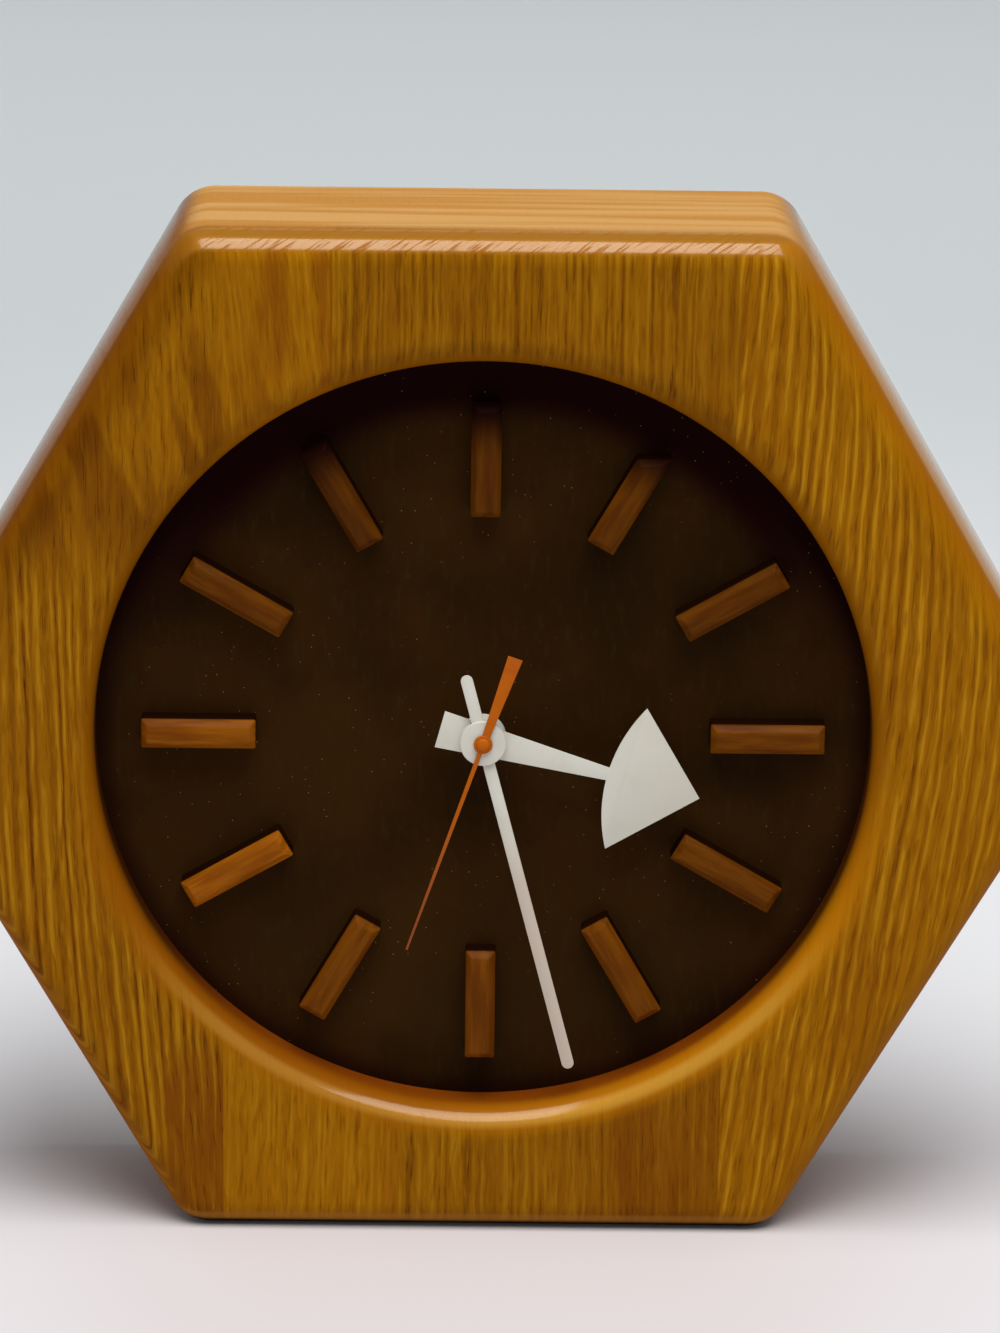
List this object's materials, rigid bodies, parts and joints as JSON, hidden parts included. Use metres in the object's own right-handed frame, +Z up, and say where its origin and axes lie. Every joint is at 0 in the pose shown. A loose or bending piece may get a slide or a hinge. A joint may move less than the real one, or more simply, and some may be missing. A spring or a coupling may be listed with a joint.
{
  "type": "wall clock",
  "caption": "Hexagonal solid oak wall clock with a round recessed dark dial, raised hour blocks, white hour and minute hands, an orange second hand and a battery movement.",
  "frame": {"origin": "middle of the bottom flat of the case, half way through its depth", "axes": "+Z up, front face towards -Y, +X to the right as seen from the front"},
  "size_m": [0.3196, 0.063, 0.28],
  "materials": {
    "oak": "semi-gloss clear lacquer over golden oak, grain upright",
    "dial_board": "satin dark brown",
    "block_wood": "satin lacquered orange-brown wood",
    "hand_white": "matte off-white paint",
    "hand_orange": "satin orange paint",
    "black_plastic": "matte moulded black",
    "white_plastic": "satin moulded natural white",
    "brass": "satin",
    "steel": "satin zinc-plated",
    "magnet": "satin sintered",
    "copper": "gloss enamelled wire",
    "circuit": "satin green laminate",
    "epoxy": "matte epoxy",
    "battery_label": "satin plain sleeve"
  },
  "bodies": {
    "case": {"board_left": "oak", "board_right": "oak", "board_top_left": "oak", "board_top_middle": "oak", "board_bottom_left": "oak", "board_bottom_middle": "oak", "dial_plate": "dial_board", "hour_block_01": "block_wood", "hour_block_02": "block_wood", "hour_block_03": "block_wood", "hour_block_04": "block_wood", "hour_block_05": "block_wood", "hour_block_06": "block_wood", "hour_block_07": "block_wood", "hour_block_08": "block_wood", "hour_block_09": "block_wood", "hour_block_10": "block_wood", "hour_block_11": "block_wood", "hour_block_12": "block_wood", "movement_front_case": "black_plastic", "movement_rear_cover": "black_plastic", "coil_bobbin": "white_plastic", "centre_bush": "brass", "stator": "steel", "coil_core": "steel", "quartz_crystal": "steel", "positive_contact": "steel", "negative_contact": "steel", "hanger_plate": "steel", "hanger_screw_left": "steel", "hanger_screw_right": "steel", "dial_screw_1": "steel", "dial_screw_2": "steel", "dial_screw_3": "steel", "dial_screw_4": "steel", "movement_screw_left": "steel", "movement_screw_right": "steel", "coil_winding": "copper", "circuit_board": "circuit", "chip": "epoxy", "battery": "battery_label"},
    "minute_group": {"minute_hand": "hand_white", "cannon_pinion": "brass"},
    "hour_group": {"hour_hand": "hand_white", "hour_wheel": "white_plastic"},
    "minute_wheel_group": {"minute_wheel": "white_plastic"},
    "setting_group": {"setting_knob": "white_plastic"},
    "second_group": {"second_hand": "hand_orange", "second_hand_socket": "hand_orange", "seconds_wheel": "white_plastic", "seconds_arbor": "steel"},
    "centre_wheel_group": {"centre_wheel": "white_plastic"},
    "third_wheel_group": {"third_wheel": "white_plastic"},
    "intermediate_wheel_group": {"intermediate_wheel": "white_plastic"},
    "rotor_group": {"rotor_pinion": "white_plastic", "rotor_magnet": "magnet"}
  },
  "joints": [
    {"name": "minute_hand_turn", "type": "hinge", "parent": "case", "child": "minute_group", "pos_m": [0, 0, 0.14], "axis": [0, 1, 0], "continuous": true},
    {"name": "hour_hand_turn", "type": "hinge", "parent": "case", "child": "hour_group", "pos_m": [0, 0, 0.14], "axis": [0, 1, 0], "continuous": true},
    {"name": "minute_wheel_turn", "type": "hinge", "parent": "case", "child": "minute_wheel_group", "pos_m": [0.0116, 0, 0.14], "axis": [0, 1, 0], "continuous": true},
    {"name": "setting_knob_turn", "type": "hinge", "parent": "case", "child": "setting_group", "pos_m": [0.01906, 0, 0.14889], "axis": [0, 1, 0], "continuous": true},
    {"name": "second_hand_turn", "type": "hinge", "parent": "case", "child": "second_group", "pos_m": [0, 0, 0.14], "axis": [0, 1, 0], "continuous": true},
    {"name": "centre_wheel_turn", "type": "hinge", "parent": "case", "child": "centre_wheel_group", "pos_m": [0, 0, 0.14], "axis": [0, 1, 0], "continuous": true},
    {"name": "third_wheel_turn", "type": "hinge", "parent": "case", "child": "third_wheel_group", "pos_m": [-0.00913, 0, 0.14527], "axis": [0, 1, 0], "continuous": true},
    {"name": "intermediate_wheel_turn", "type": "hinge", "parent": "case", "child": "intermediate_wheel_group", "pos_m": [0.0054, 0, 0.14935], "axis": [0, 1, 0], "continuous": true},
    {"name": "rotor_turn", "type": "hinge", "parent": "case", "child": "rotor_group", "pos_m": [0.0054, 0, 0.15775], "axis": [0, 1, 0], "continuous": true}
  ],
  "couplings": [
    {"joint": "hour_hand_turn", "follows": "minute_hand_turn", "ratio": 0.083333},
    {"joint": "minute_wheel_turn", "follows": "minute_hand_turn", "ratio": -0.33333},
    {"joint": "setting_knob_turn", "follows": "minute_hand_turn", "ratio": 1},
    {"joint": "third_wheel_turn", "follows": "second_hand_turn", "ratio": -0.13333},
    {"joint": "centre_wheel_turn", "follows": "second_hand_turn", "ratio": 0.016667},
    {"joint": "intermediate_wheel_turn", "follows": "second_hand_turn", "ratio": -5},
    {"joint": "rotor_turn", "follows": "second_hand_turn", "ratio": 30}
  ]
}
